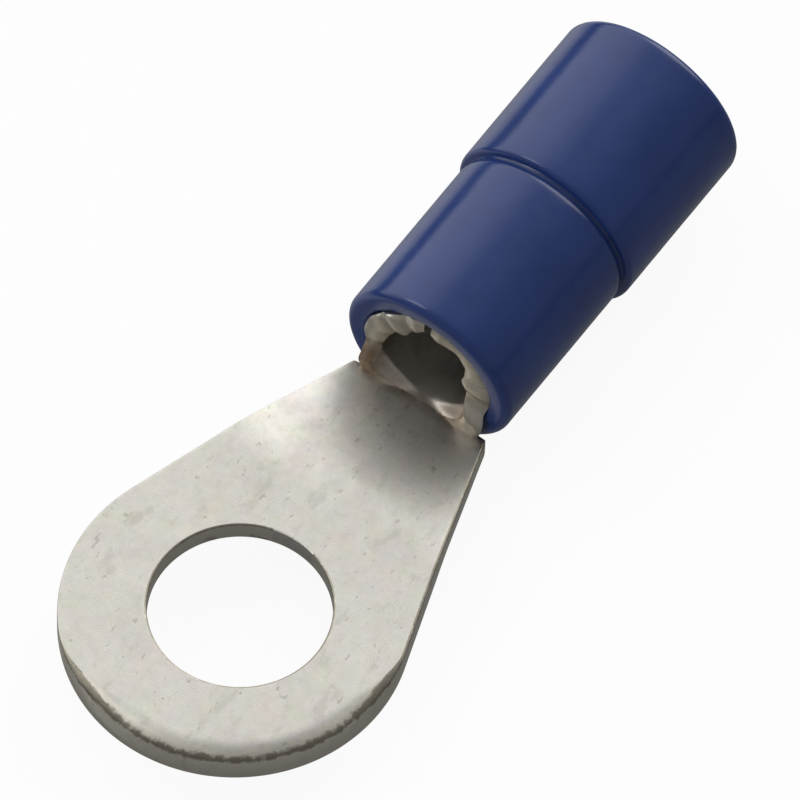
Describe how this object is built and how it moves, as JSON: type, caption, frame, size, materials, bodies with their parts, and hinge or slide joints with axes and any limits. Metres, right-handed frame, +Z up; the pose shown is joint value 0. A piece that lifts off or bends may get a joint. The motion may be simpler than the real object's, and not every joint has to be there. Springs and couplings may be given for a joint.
{
  "type": "insulated ring terminal",
  "caption": "Insulated crimp ring terminal: a flat tinned ring and tongue on a rolled barrel, in a blue stepped sleeve.",
  "frame": {"origin": "centre of the stud hole on the underside of the ring", "axes": "+X from the ring along the barrel to the wire end, +Z up out of the ring's upper face"},
  "size_m": [0.0257, 0.01, 0.0061],
  "materials": {
    "tinned_copper": "satin tin plating over copper sheet, lightly mottled",
    "blue_vinyl": "smooth dark blue vinyl with a soft gloss"
  },
  "bodies": {
    "root": {"terminal": "tinned_copper", "insulating_sleeve": "blue_vinyl"}
  },
  "joints": []
}
